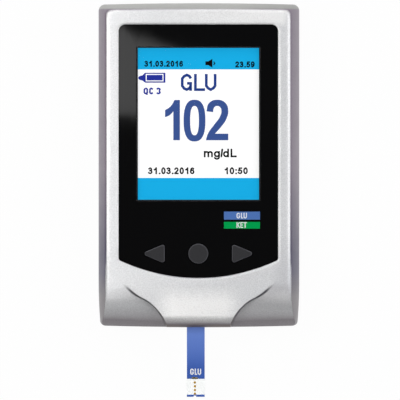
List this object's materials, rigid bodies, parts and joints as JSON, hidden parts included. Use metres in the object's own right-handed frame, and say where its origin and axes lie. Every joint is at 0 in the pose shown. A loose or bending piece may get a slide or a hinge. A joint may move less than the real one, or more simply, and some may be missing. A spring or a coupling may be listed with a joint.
{
  "type": "blood glucose meter",
  "caption": "Handheld meter with a large display, three keys, a test strip in its end port, a rear strip ejector and a sliding battery door.",
  "frame": {"origin": "centre of the flat rear face, on the plane that the meter lies on", "axes": "+Z out of the display, +Y to the top end, away from the strip port, +X to the right of the display"},
  "size_m": [0.062, 0.1216, 0.0232],
  "materials": {
    "silver_case": "satin metallic silver paint on plastic",
    "rear_case": "fine-grained grey plastic",
    "black_panel": "polished black",
    "clear_window": "polished clear",
    "adhesive": "double-sided tape",
    "foam": "closed-cell foam",
    "display_glass": "display with a white ground",
    "light_guide": "milky light guide",
    "white_plastic": "moulded",
    "amber_film": "polyimide film",
    "ivory_plastic": "moulded",
    "key_caps": "satin dark grey",
    "black_plastic": "moulded",
    "screw_steel": "zinc plated",
    "board_laminate": "solder mask on glass laminate",
    "can_steel": "drawn can",
    "capacitor_body": "fired",
    "gold_contacts": "gold plated",
    "spring_steel": "drawn wire",
    "cell_jacket": "printed steel jacket",
    "nickel_contacts": "nickel plated",
    "thumb_plastic": "moulded, satin",
    "strip_white": "polyester sheet",
    "strip_blue": "printed film"
  },
  "bodies": {
    "case": {"front_cover": "silver_case", "rear_cover": "rear_case", "lens_panel": "black_panel", "display_window": "clear_window", "lens_adhesive": "adhesive", "display_gasket": "foam", "display_glass": "display_glass", "backlight": "light_guide", "display_tray": "white_plastic", "display_flex": "amber_film", "flex_connector": "ivory_plastic", "left_switch": "black_plastic", "centre_switch": "black_plastic", "right_switch": "black_plastic", "key_guide": "white_plastic", "guide_screws": "screw_steel", "main_board": "board_laminate", "microcontroller": "black_plastic", "memory_chip": "black_plastic", "analog_chip": "black_plastic", "crystal": "can_steel", "capacitors": "capacitor_body", "buzzer": "black_plastic", "strip_connector": "ivory_plastic", "strip_contacts": "gold_contacts", "ejector_spring": "spring_steel", "battery_left": "cell_jacket", "battery_right": "cell_jacket", "negative_contact": "nickel_contacts", "positive_contact": "nickel_contacts", "link_contact": "nickel_contacts", "case_screws": "screw_steel", "board_screws": "screw_steel"},
    "left_key": {"left_key": "key_caps", "left_plunger": "ivory_plastic"},
    "centre_key": {"centre_key": "key_caps", "centre_plunger": "ivory_plastic"},
    "right_key": {"right_key": "key_caps", "right_plunger": "ivory_plastic"},
    "battery_door": {"battery_door": "rear_case"},
    "ejector": {"ejector_thumb": "thumb_plastic", "ejector_carriage": "white_plastic"},
    "test_strip": {"strip_base": "strip_white", "strip_film": "strip_blue", "strip_tip_film": "strip_blue"}
  },
  "joints": [
    {"name": "left_key_press", "type": "slide", "parent": "case", "child": "left_key", "axis": [0, 0, -1], "range_m": [0, 0.0005], "stiffness_N_per_m": 2500},
    {"name": "centre_key_press", "type": "slide", "parent": "case", "child": "centre_key", "axis": [0, 0, -1], "range_m": [0, 0.0005], "stiffness_N_per_m": 2500},
    {"name": "right_key_press", "type": "slide", "parent": "case", "child": "right_key", "axis": [0, 0, -1], "range_m": [0, 0.0005], "stiffness_N_per_m": 2500},
    {"name": "battery_door_slide", "type": "slide", "parent": "case", "child": "battery_door", "axis": [0, 1, 0], "range_m": [0, 0.062]},
    {"name": "ejector_slide", "type": "slide", "parent": "case", "child": "ejector", "axis": [0, -1, 0], "range_m": [0, 0.009], "stiffness_N_per_m": 90, "deforming": ["ejector_spring"]},
    {"name": "strip_slide", "type": "slide", "parent": "case", "child": "test_strip", "axis": [0, -1, 0], "range_m": [0, 0.009]}
  ],
  "couplings": [
    {"joint": "strip_slide", "follows": "ejector_slide", "ratio": 1}
  ]
}
